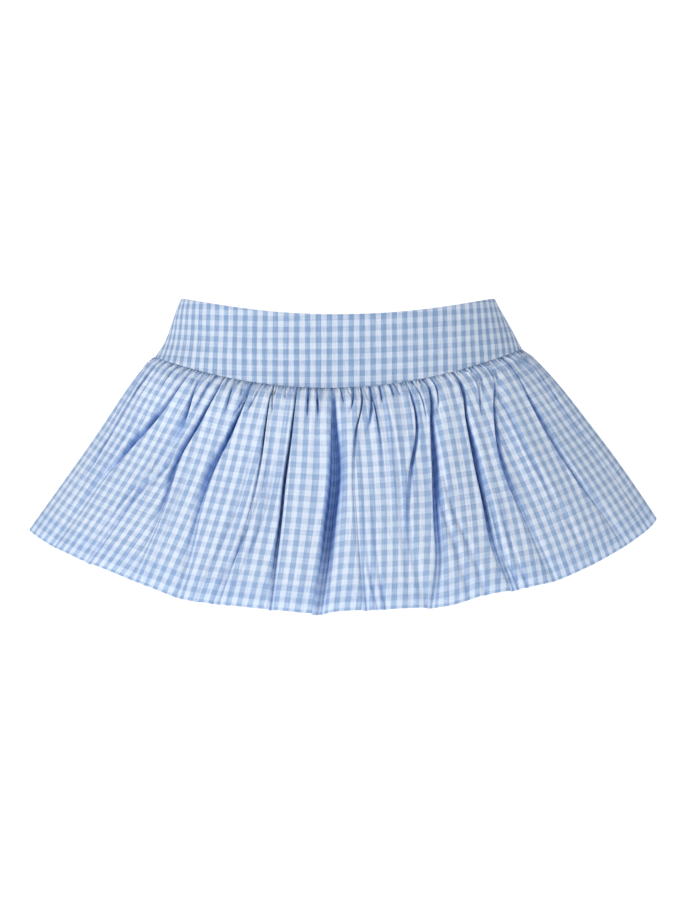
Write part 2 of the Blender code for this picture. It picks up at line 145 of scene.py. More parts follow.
BACK_FOLDS = (
    Fold((0.065, 0.072, 0.080, 0.083, 0.087, 0.090), (3, 6, 6, 4, 2, 1), 2.0, 2.5, 2, 0, 1.2),
    Fold((0.128, 0.139, 0.148, 0.150, 0.147, 0.142), (6, 12, 12, 10, 6, 4), 1.8, 3.5, 3, 0, 1.2),
    Fold((0.190, 0.198, 0.204, 0.205, 0.203, 0.200), (5, 8, 6, 2, 0, 0), 1.6, 2.5, 1, 0, 1.2),
    Fold((0.238, 0.246, 0.256, 0.267, 0.276, 0.285), (8, 15, 16, 13, 9, 6), 2.2, 4.5, 4, -2, 1.2),
    Fold((0.300, 0.307, 0.315, 0.321, 0.326, 0.330), (6, 8, 6, 3, 1, 0), 1.5, 2.5, 1, 0, 1.2),
    Fold((0.345, 0.359, 0.368, 0.375, 0.378, 0.380), (8, 16, 18, 14, 9, 6), 2.4, 5.0, 4, 2, 1.2),
    Fold((0.412, 0.417, 0.422, 0.426, 0.431, 0.436), (5, 7, 5, 2, 0, 0), 1.5, 2.0, 1, 0, 1.2),
    Fold((0.455, 0.465, 0.470, 0.470, 0.467, 0.462), (8, 14, 14, 12, 8, 5), 2.0, 3.5, 3, 0, 1.2),
    Fold((0.528, 0.527, 0.528, 0.532, 0.539, 0.548), (9, 18, 21, 19, 12, 8), 3.0, 6.5, 4, 4, 0.3),
    Fold((0.585, 0.587, 0.589, 0.591, 0.595, 0.600), (5, 8, 6, 3, 1, 0), 1.5, 2.2, 1, 0, 1.2),
    Fold((0.640, 0.632, 0.628, 0.629, 0.634, 0.642), (7, 13, 13, 10, 6, 4), 1.8, 3.5, 3, 0, 1.2),
    Fold((0.702, 0.694, 0.688, 0.688, 0.693, 0.700), (5, 8, 7, 3, 1, 0), 1.5, 2.5, 1, 0, 1.2),
    Fold((0.760, 0.749, 0.743, 0.739, 0.736, 0.735), (8, 15, 17, 14, 9, 6), 2.4, 5.0, 4, -2, 1.2),
    Fold((0.822, 0.812, 0.803, 0.802, 0.803, 0.806), (5, 8, 7, 3, 1, 0), 1.6, 2.5, 1, 0, 1.2),
    Fold((0.880, 0.868, 0.862, 0.862, 0.864, 0.868), (6, 12, 12, 9, 6, 4), 1.8, 3.2, 3, 0, 1.2),
    Fold((0.935, 0.931, 0.928, 0.925, 0.922, 0.920), (3, 6, 6, 4, 3, 2), 1.8, 2.5, 2, 0, 1.2),
)

# Smaller folds of the front, between the others.
FRONT_RIPPLES = (
    Fold((0.352, 0.352, 0.349, 0.341, 0.328, 0.318), (0, 0, 1.6, 2.6, 2.6, 2.2), 1.0, 1.6, 0, 0, 0.6),
    Fold((0.385, 0.382, 0.377, 0.367, 0.352, 0.338), (0, 0, 1.6, 2.6, 2.8, 2.2), 1.0, 1.6, 0, 0, 0.6),
    Fold((0.398, 0.396, 0.391, 0.383, 0.370, 0.356), (0, 0, 0.8, 2.2, 2.6, 2.0), 1.0, 1.4, 0, 0, 0.6),
    Fold((0.535, 0.533, 0.530, 0.528, 0.531, 0.541), (0, 0, 0.4, 1.0, 2.6, 3.4), 0.9, 1.2, 0, 0, 0.3),
    Fold((0.546, 0.545, 0.543, 0.541, 0.543, 0.551), (0, 0, 0.0, 0.8, 2.4, 3.0), 0.9, 1.2, 0, 0, 0.3),
    Fold((0.590, 0.588, 0.583, 0.580, 0.580, 0.582), (0, 2, 2.4, 2.0, 1.6, 1.0), 1.2, 2.0, 0, 0, 0.6),
    Fold((0.655, 0.650, 0.641, 0.642, 0.650, 0.655), (0, 0, 1.4, 2.6, 2.8, 2.0), 1.0, 1.6, 0, 0, 0.6),
    Fold((0.664, 0.660, 0.655, 0.655, 0.668, 0.676), (0, 0, 0.8, 2.4, 2.8, 2.4), 1.0, 1.6, 0, 0, 0.6),
    Fold((0.725, 0.722, 0.718, 0.713, 0.711, 0.720), (0, 0, 0.6, 1.6, 3.0, 3.0), 0.9, 1.3, 0, 0, 0.3),
    Fold((0.738, 0.735, 0.730, 0.725, 0.723, 0.731), (0, 0, 0.0, 1.2, 2.6, 2.8), 0.9, 1.3, 0, 0, 0.3),
    Fold((0.800, 0.800, 0.800, 0.805, 0.815, 0.825), (0, 2, 2.6, 2.2, 1.6, 1.0), 1.2, 2.0, 0, 0, 0.6),
    Fold((0.120, 0.118, 0.112, 0.105, 0.098, 0.090), (0, 1, 1.6, 1.8, 1.4, 1.0), 1.2, 1.8, 0, 0, 0.6),
    Fold((0.212, 0.210, 0.200, 0.178, 0.160, 0.148), (0, 0, 1.8, 2.6, 2.6, 2.0), 1.0, 1.6, 0, 0, 0.6),
    Fold((0.262, 0.260, 0.256, 0.254, 0.252, 0.250), (0, 0, 1.4, 2.0, 2.0, 1.4), 1.2, 1.8, 0, 0, 0.6),
)

# A fold begins at the seam as a slit, opens, and spreads towards the hem, where its walls are softer.
FOLD_STARTS = (-0.02, 0.06)
FOLD_OPENS = (0.04, 0.42)
FOLD_SPREADS = (0.55, 1.0)
FOLD_WALL_POWER = (5.0, 2.2)
SLIT_SHARE = 0.32

# The wide hollow round a fold, and the low cheeks beside it, placed in half widths of the fold.
SHOULDER_WIDTH = 12 * MM
CHEEK_HEIGHT = 1.3 * MM
CHEEK_PLACE = 2.6
CHEEK_WIDTH = 1.3

# Folds fade out this close to a side seam.
STIFF_SIDE_SEAM = 0.04

# A fold that is this deep all the way down, in millimetres, takes in cloth that the smooth form has no room
# for, a little beyond its floor, and still some of its depth at the hem.
LONG_FOLD_DEPTH = 1
FOLD_TAKES = 1.6
VALLEY_REACH = 1.3

# The cloth sinks less to the side than it faces, but slits near the seam sink straight inwards.
SINK_TURN = 0.4
SLIT_TURN_FADES = (0.08, 0.3)
SLIGHT_SINK = 0.5 * MM
LEVEL_BELOW_SEAM = 0.035

# Gathers: a slit runs down from the seam at each, slants to one side and goes on as a soft flute. Puckers are
# the smaller ones between them. Lengths are shares of the panel's length.
GatherSet = namedtuple("GatherSet", "count uneven depth length half_width slant flute")
GATHERS = GatherSet(
    48, 0.36, (4 * MM, 9 * MM), (0.06, 0.24), (0.45 * MM, 0.85 * MM), 0.10, (0.5 * MM, 2.2 * MM)
)
PUCKERS = GatherSet(
    140, 0.42, (1.6 * MM, 3.8 * MM), (0.015, 0.065), (0.4 * MM, 0.65 * MM), 0.28, (0.0, 0.0)
)

# Each uneven quality of a gather is drawn with a salt of its own.
PLACE_SALT = 3
DEPTH_SALT = 7
LENGTH_SALT = 11
WIDTH_SALT = 13
SLANT_SALT = 17
FLUTE_DEPTH_SALT = 19
FLUTE_LENGTH_SALT = 23

# A slit is shallower right at the seam and fades out over the lower part of its length. Most are short.
SLIT_AT_SEAM = 0.75
SLIT_FULL_AT = 0.02
SLIT_LENGTH_POWER = 2.2
SLIT_FADES_FROM = 0.35
SLIT_PROFILE_POWER = 2.6
SLIT_CHEEK = 0.2
FLUTE_LENGTH = (0.25, 1.0)
FLUTE_FULL_AT = 0.05
FLUTE_FADES_FROM = 0.4
FLUTE_HALF_WIDTH = 4.2 * MM
FLUTE_WIDENS = (0.6, 1.5)

# Where folds and slits begin to count as hollow and do so fully, and where folds fade out of it. Hollow cloth
# takes painted shade: its colour is darkened there.
PAINTED_SHADE_DEPTH = (1.2 * MM, 11 * MM)
PAINTED_SHADE_FADES = (0.5, 1.02)
SLIT_PAINTED_SHADE = (3 * MM, 6 * MM)

# The most that the cloth may sink at heights down the panel, in millimetres, to clear the shorts.
ROOM_HEIGHTS = (0.0, 0.02, 0.05, 0.1, 0.2, 0.4, 1.0)
ROOM = (1.5, 4.2, 8.5, 13.0, 20.0, 30.0, 60.0)

# Small creases of the yoke's front: across and slant are shares of its width, top and end of its height.
Crease = namedtuple("Crease", "across slant top end depth half_width")
YOKE_CREASES = (
    Crease(0.464, -0.003, 0.55, 1.00, 0.60 * MM, 0.7 * MM),
    Crease(0.437, 0.004, 0.12, 0.30, 0.70 * MM, 0.6 * MM),
    Crease(0.738, -0.060, 0.10, 0.62, 0.80 * MM, 1.6 * MM),
    Crease(0.762, -0.070, 0.18, 0.74, 1.00 * MM, 1.8 * MM),
    Crease(0.800, -0.060, 0.10, 0.55, 0.90 * MM, 1.6 * MM),
    Crease(0.828, -0.080, 0.20, 0.80, 0.80 * MM, 2.0 * MM),
    Crease(0.880, -0.050, 0.25, 0.70, 0.80 * MM, 1.5 * MM),
    Crease(0.610, 0.030, 0.60, 0.95, 0.30 * MM, 2.0 * MM),
    Crease(0.210, 0.050, 0.40, 0.95, 0.35 * MM, 2.2 * MM),
)
CREASE_END = 0.05

# The yoke's dents, ripples and waves, and about how long half of it is round.
YOKE_SIDE_DENT = 0.5 * MM
YOKE_SIDE_DENT_WIDTH = 1.6 * MM
YOKE_HALF_ROUND = 0.42
PULL_HEIGHT = 0.35 * MM
PULL_FROM = 0.55
PULL_TURNS = 41
PULL_WANDER = 1.3
PULL_WANDER_TURNS = 17
YOKE_WAVE_HEIGHT = 0.5 * MM
YOKE_WAVES = ((13, 3), (5, 4))

# ----- shorts

SHORTS_INSET = 2.8 * MM
SHORTS_OVERLAP = 1.5 * MM
CROTCH_GAP = 0.06 * MM
HIP_SWELL = 5 * MM
CROTCH_SAG = 44 * MM
LEG_X = 85 * MM
LEG_Y = 5 * MM
LEG_HALF_WIDTH = 79 * MM
LEG_HALF_DEPTH = 88 * MM
LEG_HEM_Z = -240 * MM
LEG_HEM_TURN_UP = 16 * MM
LEG_INNER_ARC = math.radians(84)

# The jersey's soft creases.
FAN_DEPTH = 1.0 * MM
FAN_CREASES = 9.0
FAN_WANDER = 1.4
FAN_WANDER_TURNS = 30.0
FAN_TURNS_BACK = 11.0
FAN_REACH = 55 * MM
FAN_WIDTH = 45 * MM
THIGH_DEPTH = 0.6 * MM
THIGH_TURNS = 75.0
THIGH_WANDER = 2.2
THIGH_WANDER_TURNS = (26.0, 19.0)
THIGH_Z = -190 * MM
THIGH_HEIGHT = 35 * MM
CREASES_FROM_CENTRE = 12 * MM
LEG_HEM_GROOVE = 0.35 * MM
LEG_HEM_GROOVE_WIDTH = 1.2 * MM
JERSEY_SINK = 0.1 * MM

# ----- stitches and fineness

# A stitch is a bead of thread, square in section. Each of its rings has a place along it and a lift off the
# cloth, in shares of its length and of the thread's size.
HEM_LINE = 21 * MM
STITCH_PITCH = 3.4 * MM
STITCH_LENGTH = 2.4 * MM
THREAD_SIZE = 0.3 * MM
STITCH_RINGS = ((0.0, -0.2), (0.2, 0.5), (0.8, 0.5), (1.0, -0.2))
SQUARE = ((-0.5, -0.5), (0.5, -0.5), (0.5, 0.5), (-0.5, 0.5))

FINE_COLUMNS = 5001
SKIRT_COLUMNS = 1400
SKIRT_ROWS = 34
SKIRT_ROWS_EVEN = 0.35
SKIRT_ROWS_POWER = 1.8
ANCHOR_FADE = 0.3
ANCHOR_LEAST = 0.25
YOKE_COLUMNS = 640
YOKE_OUTER_ROWS = 25
YOKE_INNER_ROWS = 13
YOKE_EDGE_ROWS = 6
YOKE_SAMPLES = 2001
OUTER_LEG_COLUMNS = 144
INNER_LEG_COLUMNS = 48
HIP_ROWS = 36
LEG_ROWS = 32
SLOPE_STEP = 0.002
CURVE_SAMPLES = 1441

# ----- materials

# The gingham. Its tones go from bare to fully dyed cloth; the skirt's are lighter with painted light.
THREAD = 0.3 * MM
WARP_SHARE = 0.64
WEAVE_CONTRAST = 0.16
STRIPE_SOFT = 0.035
TONE_PLACES = (0.0, 0.36, 0.64, 1.0)
YOKE_TONES = ((0.72, 0.81, 0.95), (0.585, 0.67, 0.84), (0.37, 0.515, 0.745), (0.27, 0.40, 0.63))
# The skirt's tones are lighter than the yoke's: painted light, standing in for light that shines through its
# single layer of cloth.
SKIRT_TONES_WITH_PAINTED_LIGHT = ((0.77, 0.86, 1.0), (0.65, 0.745, 0.91), (0.445, 0.58, 0.81), (0.335, 0.47, 0.71))
# Painted shade: the skirt's colour is multiplied by this tint where it is hollow, so folds and slits look
# darker and bluer.
PAINTED_SHADE_TINT = (0.60, 0.76, 0.97)
# Painted shade: this tint darkens the skirt where its turned-up hem doubles the cloth and lets less light
# through.
HEM_PAINTED_SHADE_TINT = (0.93, 0.96, 1.0)

# Where the check begins across and down, in periods.
SKIRT_PHASES = (0.5, 0.5)
YOKE_PHASES = (0.27, 0.40)

# Unevenness of the cloth, in cells a metre. Heights are multiples of the bump's distance.
SLUB_CELLS = (420.0, 14.0)
SLUB_STRENGTH = 1.6
CRUMPLE_CELLS = (110.0, 45.0)
CRUMPLE_HEIGHT = 7.0
PULLED_CELLS = (330.0, 60.0)
PULLED_HEIGHT = 4.0
PULLED_FADE = 16 * MM
PULLED_LEAST = 0.25
WEAVE_HEIGHT = 0.03
CLOTH_BUMP = 0.6 * MM

THREAD_COLOUR = (0.62, 0.72, 0.88)
RIB_PERIOD = 0.7 * MM
LOOP_PERIOD = 0.55 * MM
JERSEY_CELLS = 60.0
JERSEY_TONES = ((0.3, (0.78, 0.82, 0.88)), (0.7, (0.85, 0.88, 0.93)))
JERSEY_BUMP = 0.1 * MM

# ----- stage

CAMERA_PLACE = (4.5 * MM, -2.6, -141.5 * MM)
CAMERA_LENS = 114.57
SENSOR = 36.0

LIGHTS = (("key", (-2.0, -1.8, 0.9), 1.4, 24.0), ("fill", (1.5, -1.9, 0.5), 1.6, 4.0))
LIGHTS_AIM = (0.0, 0.0, -0.14)
WHITE = (1.0, 1.0, 1.0, 1.0)
WORLD_LIGHT = 0.48
WORLD_SHOWN = 1.1

FLOOR_Z = -0.95
FLOOR_HALF = 8.0
FLOOR_COLOUR = (0.93, 0.93, 0.93, 1.0)
FLOOR_GLOW = 0.7


# ----- small helpers


def smooth(low, high, value):
    """0 up to low, 1 from high, and a smooth rise between them."""
    share = np.clip((value - low) / (high - low), 0.0, 1.0)
    return share * share * (3.0 - 2.0 * share)


def bell(off, half_width):
    """1 in the middle, falling off smoothly to both sides."""
    return np.exp(-((off / half_width) ** 2))


def between(limits, share):
    return limits[0] + (limits[1] - limits[0]) * share


def uneven(number, salt):
    """A fixed, irregular value from 0 to 1 for each whole number."""
    return np.mod(np.sin(number * 12.9898 + salt * 78.233) * 43758.5453, 1.0)


def unit(vectors):
    return vectors / np.linalg.norm(vectors, axis=-1, keepdims=True)


def steps_of(points):
    """The distances between neighbouring points, along each row."""
    return np.linalg.norm(np.diff(points, axis=-2), axis=-1)


def running(steps):
    """The sum of the steps before each point, along each row."""
    return np.concatenate([np.zeros_like(steps[..., :1]), np.cumsum(steps, axis=-1)], axis=-1)


def add_object(name, data):
    made = bpy.data.objects.new(name, data)
    bpy.context.scene.collection.objects.link(made)
    return made


# ----- smooth surfaces


def depth_of(ring, facing):
    return ring.front if facing < 0 else ring.back


def dip_of(ring, facing):
    return ring.front_dip if facing < 0 else ring.back_dip


def angle_at(across, ring, facing):
    """The angle round half a ring at which a share of its length is reached, from -90 to 90 degrees."""
    angle = np.linspace(-math.pi / 2, math.pi / 2, CURVE_SAMPLES)
    speed = np.hypot(ring.half_width * np.cos(angle), depth_of(ring, facing) * np.sin(angle))
    length = running((speed[1:] + speed[:-1]) / 2)
    return np.interp(across, length / length[-1], angle)


def ring_points(ring, facing, angle, power, inset=0.0):
    """Points of half a ring, at angles from its middle."""
    level = np.clip(np.cos(angle), 0.0, 1.0)
    x = ring.x + (ring.half_width - inset) * np.sin(angle)
    y = facing * ((depth_of(ring, facing) - inset) * level + SIDE_SEAM_GAP / 2)
    z = ring.z + ring.lean / 2 * np.sin(angle) - dip_of(ring, facing) * level**power
    return np.stack([x, y, z], axis=-1)


def yoke_surface(facing, across, down):
    angle = angle_at(across, SEAM, facing)
    top = ring_points(WAIST, facing, angle, FITTED_DIP_POWER)
    bottom = ring_points(SEAM, facing, angle, FITTED_DIP_POWER)
    points = top + (bottom - top) * down[..., None]
    hollow = np.sin(math.pi * np.clip(down, 0.0, 1.0) ** YOKE_HOLLOW_POWER)
    points[..., 0] += YOKE_SIDE_HOLLOW * smooth(*YOKE_HOLLOW_REACH, -np.sin(angle)) * hollow
    return points


def skirt_base(facing, across, down):
    """The skirt's smooth form, before gathers and folds."""
    seam_angle = angle_at(across, SEAM, facing)
    angle = seam_angle + (angle_at(across, HEM, facing) - seam_angle) * down
    top = ring_points(SEAM, facing, angle, FITTED_DIP_POWER)
    bottom = ring_points(HEM, facing, angle, HEM_DIP_POWER)
    points = top + (bottom - top) * down[..., None]
    points[..., 1] *= np.clip(np.cos(angle), 0.0, 1.0) ** (SIDE_SHARPNESS * smooth(*SIDE_SHARPENS, down))
    points[..., 2] -= YOKE_SEAM_GAP
    if facing < 0:
        lift = np.mean([np.interp(across + step, HEM_PLACES, HEM_LIFTS) for step in HEM_LIFT_STEPS], axis=0)
        points[..., 2] += lift * MM * down**2
    rise = PUFF_RISE + SIDE_PUFF_RISE * np.sin(angle) ** SIDE_PUFF_POWER
    puff = PUFF * (1.0 - np.exp(-down / rise)) * (1.0 - down**2)
    points[..., 0] += puff * np.sin(angle) + SWAY * np.sin(math.pi * down)
    points[..., 1] += facing * puff * np.cos(angle)
    return points


def base_frame(surface, facing, across, down):
    """The points of a surface, its outward direction and its direction along the row."""
    right, left = across + SLOPE_STEP, across - SLOPE_STEP
    along = surface(facing, right, down) - surface(facing, left, down)
    fall = surface(facing, across, down + SLOPE_STEP) - surface(facing, across, down - SLOPE_STEP)
    outward = unit(np.cross(fall, along) * -facing)
    return surface(facing, across, down), outward, unit(along)


def half_length(facing, down):
    """About how long half a ring of the skirt is at each height."""
    half_width = between((SEAM.half_width, HEM.half_width), down)
    depth = between((depth_of(SEAM, facing), depth_of(HEM, facing)), down)
    return math.pi * np.sqrt((half_width**2 + depth**2) / 2)


# ----- folds of the skirt


def curve(values, down):
    """A smooth curve through one value at each station, read at other heights."""
    places = np.array((0.0, *STATIONS))
    values = np.array((values[0], *values), dtype=float)
    slopes = np.gradient(values, places)
    number = np.clip(np.searchsorted(places, down, side="right") - 1, 0, len(places) - 2)
    step = places[number + 1] - places[number]
    t = (down - places[number]) / step
    start = (1 + 2 * t) * (1 - t) ** 2 * values[number] + t * (1 - t) ** 2 * step * slopes[number]
    end = t**2 * (3 - 2 * t) * values[number + 1] - t**2 * (1 - t) * step * slopes[number + 1]
    return start + end


def folds_of(facing):
    return FRONT_FOLDS if facing < 0 else BACK_FOLDS


def fold_opened(fold, down):
    """How wide a fold is at each height, as a share of the widths in its row."""
    return between((SLIT_SHARE, 1.0), smooth(*FOLD_OPENS, down)) + fold.spread * smooth(*FOLD_SPREADS, down)


def fold_shift(facing, across, down):
    """How far the folds sink below the smooth form, and how far their edges lean over them."""
    sunk = np.zeros_like(across)
    leant = np.zeros_like(across)
    stiff = smooth(0.0, STIFF_SIDE_SEAM, np.minimum(across, 1.0 - across))
    late = smooth(*FOLD_SPREADS, down)
    for fold in folds_of(facing) + (FRONT_RIPPLES if facing < 0 else ()):
        off = (across - curve(fold.place, down)) * half_length(facing, down)
        depth = np.maximum(curve(fold.depth, down), 0.0) * MM * smooth(*FOLD_STARTS, down)
        share = depth / (max(fold.depth) * MM)
        opened = fold_opened(fold, down)
        away = np.abs(off) / (np.where(off < 0, fold.left, fold.right) * MM * opened)
        sunk += depth / (1.0 + away ** between(FOLD_WALL_POWER, late * min(fold.spread, 1.0)))
        sunk += fold.shoulder * MM * share * bell(off, SHOULDER_WIDTH)
        sunk -= CHEEK_HEIGHT * share * (1.0 - late) * bell(away - CHEEK_PLACE, CHEEK_WIDTH)
        if fold.lip:
            edge = off + (fold.left * MM if fold.lip > 0 else -fold.right * MM) * opened
            reach = (fold.left + fold.right) * MM * opened
            leant += fold.lip * MM * share * opened * bell(edge, reach)
    return sunk * stiff, leant * stiff


def fold_lines(facing, height):
    """The places of the folds that start at the seam, there and at a height, between the side seams."""
    folds = sorted((fold for fold in folds_of(facing) if fold.depth[0] > 0), key=lambda fold: fold.place[0])
    now = [float(curve(fold.place, np.array(height))) for fold in folds]
    return [0.0, *(fold.place[0] for fold in folds), 1.0], [0.0, *np.maximum.accumulate(now), 1.0]


def gather_places(facing, gathers):
    """The places along the seam where gathers start: at every fold, and unevenly between them."""
    anchors = fold_lines(facing, 0.0)[0]
    places = []
    for first, last in zip(anchors, anchors[1:]):
        count = max(1, round((last - first) * gathers.count))
        number = np.arange(1, count + 1)
        moved = 2.0 * uneven(number + len(places), PLACE_SALT + facing) - 1.0
        moved[-1] = 0.0
        places += list(first + (last - first) * (number + moved * gathers.uneven) / count)
    return np.array(places[:-1])


def gather_depth(facing, across, down, gathers):
    """How deep the slits and flutes of a set of gathers are. They run down between the folds."""
    places = gather_places(facing, gathers)[:, None]
    number = np.arange(len(places))[:, None]

    def drawn(limits, salt, power=1.0):
        return between(limits, uneven(number, salt + facing) ** power)

    deep = drawn(gathers.depth, DEPTH_SALT)
    slit_end = drawn(gathers.length, LENGTH_SALT, SLIT_LENGTH_POWER)
    slit_width = drawn(gathers.half_width, WIDTH_SALT)
    slant = drawn((-gathers.slant, gathers.slant), SLANT_SALT)
    flute_depth = drawn(gathers.flute, FLUTE_DEPTH_SALT)
    flute_end = drawn(FLUTE_LENGTH, FLUTE_LENGTH_SALT)
    lowest = FLUTE_LENGTH[1] if gathers.flute[1] > 0 else gathers.length[1]
    total = np.zeros_like(across)
    for row, height in enumerate(down[:, 0]):
        if height > lowest:
            break
        starts, now = fold_lines(facing, height)
        seam_place = np.interp(across[row], now, starts)
        lean = slant * np.minimum(height, slit_end)
        off = np.abs(seam_place - places - lean) * half_length(facing, height)
        away = off / slit_width
        slit = np.exp(-(away**SLIT_PROFILE_POWER)) - SLIT_CHEEK * bell(away - CHEEK_PLACE, CHEEK_WIDTH)
        slit *= deep * between((SLIT_AT_SEAM, 1.0), smooth(0.0, SLIT_FULL_AT, height))
        slit *= 1.0 - smooth(SLIT_FADES_FROM * slit_end, slit_end, height)
        flute = flute_depth * bell(off, FLUTE_HALF_WIDTH * between(FLUTE_WIDENS, height))
        flute *= 1.0 - smooth(FLUTE_FADES_FROM * flute_end, flute_end, height)
        flute *= smooth(0.0, FLUTE_FULL_AT, height)
        total[row] = (slit + flute).sum(axis=0)
    return total


def threads(facing, across, down, base):
    """The place in the flat cloth, across from the middle, of each point of the smooth form.

    Between the long folds the warp threads run straight and keep their distances. Each long fold takes in
    what is left over of the cloth between the middles of its two neighbours."""
    folds = sorted((fold for fold in folds_of(facing) if min(fold.depth) >= LONG_FOLD_DEPTH),
                   key=lambda fold: fold.place[0])
    ends = [np.array([0.0, *(fold.place[station] for fold in folds), 1.0]) for station in (0, -1)]
    top, bottom = [np.array([0.0, *((line[1:-2] + line[2:-1]) / 2), 1.0]) for line in ends]
    eased = 1.0 - SIDE_EASE * bell(np.minimum(across, 1.0 - across), SIDE_EASE_WIDTH)
    run = running(steps_of(base) * eased[:, 1:])
    gaps = np.array([np.diff(np.interp(top + (bottom - top) * row_down[0], row_across, row_run))
                     for row_down, row_across, row_run in zip(down, across, run)])
    kept = np.array([fold.depth[-1] * FOLD_TAKES * MM for fold in folds])
    surplus = np.maximum(gaps[-1] + kept - gaps, 0.0)
    place = run.copy()
    for fold, taken in zip(folds, surplus.T):
        off = (across - curve(fold.place, down)) * half_length(facing, down)
        opened = fold_opened(fold, down) * VALLEY_REACH * MM
        share = np.clip((off + fold.left * opened) / ((fold.left + fold.right) * opened), 0.0, 1.0)
        place += taken[:, None] * smooth(0.0, 1.0, share)
    return place - place[-1, -1] / 2


def cloth_sinks(facing, across, down):
    """How far the cloth sinks and leans, how much of the sinking is slits, and how hollow it is, which sets
    its painted shade.
    """
    folds, leant = fold_shift(facing, across, down)
    slits = gather_depth(facing, across, down, GATHERS) + gather_depth(facing, across, down, PUCKERS)
    # hollow is the mask for painted shade, taken from the depth of folds and slits.
    hollow = smooth(*PAINTED_SHADE_DEPTH, folds) * (1.0 - smooth(*PAINTED_SHADE_FADES, down))
    hollow = np.maximum(hollow, smooth(*SLIT_PAINTED_SHADE, slits))
    sunk = folds + slits
    from_slits = np.clip(slits / np.maximum(sunk, SLIGHT_SINK), 0.0, 1.0)
    room = np.interp(down, ROOM_HEIGHTS, ROOM) * MM
    sunk = np.where(sunk > 0.0, room * np.tanh(sunk / room), sunk)
    return sunk, leant, from_slits, hollow


def sink_from(facing, outward, from_slits, down):
    """The direction out of which the cloth sinks, turned less to the side than the surface faces."""
    turned = between((SINK_TURN, 1.0), from_slits * (1.0 - smooth(*SLIT_TURN_FADES, down)))
    angle = np.arctan2(outward[..., 0], facing * outward[..., 1]) * turned
    level = np.hypot(outward[..., 0], outward[..., 1])
    return np.stack([level * np.sin(angle), facing * level * np.cos(angle), outward[..., 2]], axis=-1)


def skirt_surface(facing, across, down):
    """The skirt's outer surface, its place across in the flat cloth, and how hollow it is, which sets its
    painted shade.
    """
    base, outward, along = base_frame(skirt_base, facing, across, down)
    outward[..., 2] *= smooth(0.0, LEVEL_BELOW_SEAM, down)
    outward = unit(outward)
    sunk, leant, from_slits, hollow = cloth_sinks(facing, across, down)
    sinking = sink_from(facing, outward, from_slits, down)
    swell = SEAM_SWELL * smooth(*SWELL_RISES, down) * (1.0 - smooth(*SWELL_FADES, down))
    points = base + swell[..., None] * outward - sunk[..., None] * sinking + leant[..., None] * along
    return points, threads(facing, across, down, base), hollow


def skirt_rows():
    """How far down the skirt's rows are: closer together near the seam."""
    share = np.linspace(0.0, 1.0, SKIRT_ROWS + 1)
    return SKIRT_ROWS_EVEN * share + (1.0 - SKIRT_ROWS_EVEN) * share**SKIRT_ROWS_POWER


def skirt_points(facing):
    """Rows of points on the skirt's outer surface, and their places in the cloth.

    The columns follow the gathers and folds down the panel, and what lies near the seam counts most."""
    rows = skirt_rows()
    across, down = np.meshgrid(np.linspace(0.0, 1.0, FINE_COLUMNS), rows)
    points, place, hollow = skirt_surface(facing, across, down)
    lengths = running(steps_of(points))
    anchors = np.concatenate([[0.0], gather_places(facing, GATHERS), [1.0]])
    fixed = np.array([np.interp(anchors, *fold_lines(facing, height)) for height in rows])
    reached = np.array([np.interp(places, across[0], line) for places, line in zip(fixed, lengths)])
    weights = np.exp(-rows / ANCHOR_FADE) + ANCHOR_LEAST
    shares = np.average(reached / reached[:, -1:], axis=0, weights=weights)
    even = np.linspace(0.0, 1.0, SKIRT_COLUMNS + 1)
    spread = np.empty((len(rows), SKIRT_COLUMNS + 1, 3))
    cloth = np.zeros_like(spread)
    cloth[..., 1] = rows[:, None] * SKIRT_CUT_LENGTH
    for row, line in enumerate(points):
        wanted = np.interp(even, shares, reached[row])
        for axis in range(3):
            spread[row, :, axis] = np.interp(wanted, lengths[row], line[:, axis])
        cloth[row, :, 0] = np.interp(wanted, lengths[row], place[row])
        cloth[row, :, 2] = np.interp(wanted, lengths[row], hollow[row])
    return spread, cloth


# ----- pieces


def new_piece(name, points, faces, cloth, material):
    mesh = bpy.data.meshes.new(name)
    mesh.from_pydata(points.tolist(), [], faces)
    attribute = mesh.attributes.new("cloth", "FLOAT_VECTOR", "POINT")
    attribute.data.foreach_set("vector", cloth.astype(np.float32).ravel())
    mesh.materials.append(material)
    mesh.shade_smooth()
    return add_object(name, mesh)


def shell(name, outer, cloth, wall, facing, material):
    """A closed shell below a grid of outer points. wall is its thickness at each row."""
    rows, columns = outer.shape[:2]
    away = unit(np.cross(np.gradient(outer, axis=0), np.gradient(outer, axis=1)) * -facing)
    inner = outer - away * wall[:, None, None]
    count = rows * columns
    numbers = np.arange(count).reshape(rows, columns)
    corners = (numbers[:-1, :-1], numbers[1:, :-1], numbers[1:, 1:], numbers[:-1, 1:])
    sheet = np.stack(corners, axis=-1).reshape(-1, 4)
    loop = np.concatenate([numbers[:, 0], numbers[-1, 1:], numbers[-2::-1, -1], numbers[0, -2:0:-1]])
    after = np.roll(loop, -1)
    rims = np.stack([after, loop, loop + count, after + count], axis=-1)
    faces = np.concatenate([sheet, sheet[:, ::-1] + count, rims])
    if facing > 0:
        faces = faces[:, ::-1]
    points = np.concatenate([outer.reshape(-1, 3), inner.reshape(-1, 3)])
    both = np.concatenate([cloth.reshape(-1, 3), cloth.reshape(-1, 3)])
    return new_piece(name, points, faces.tolist(), both, material)


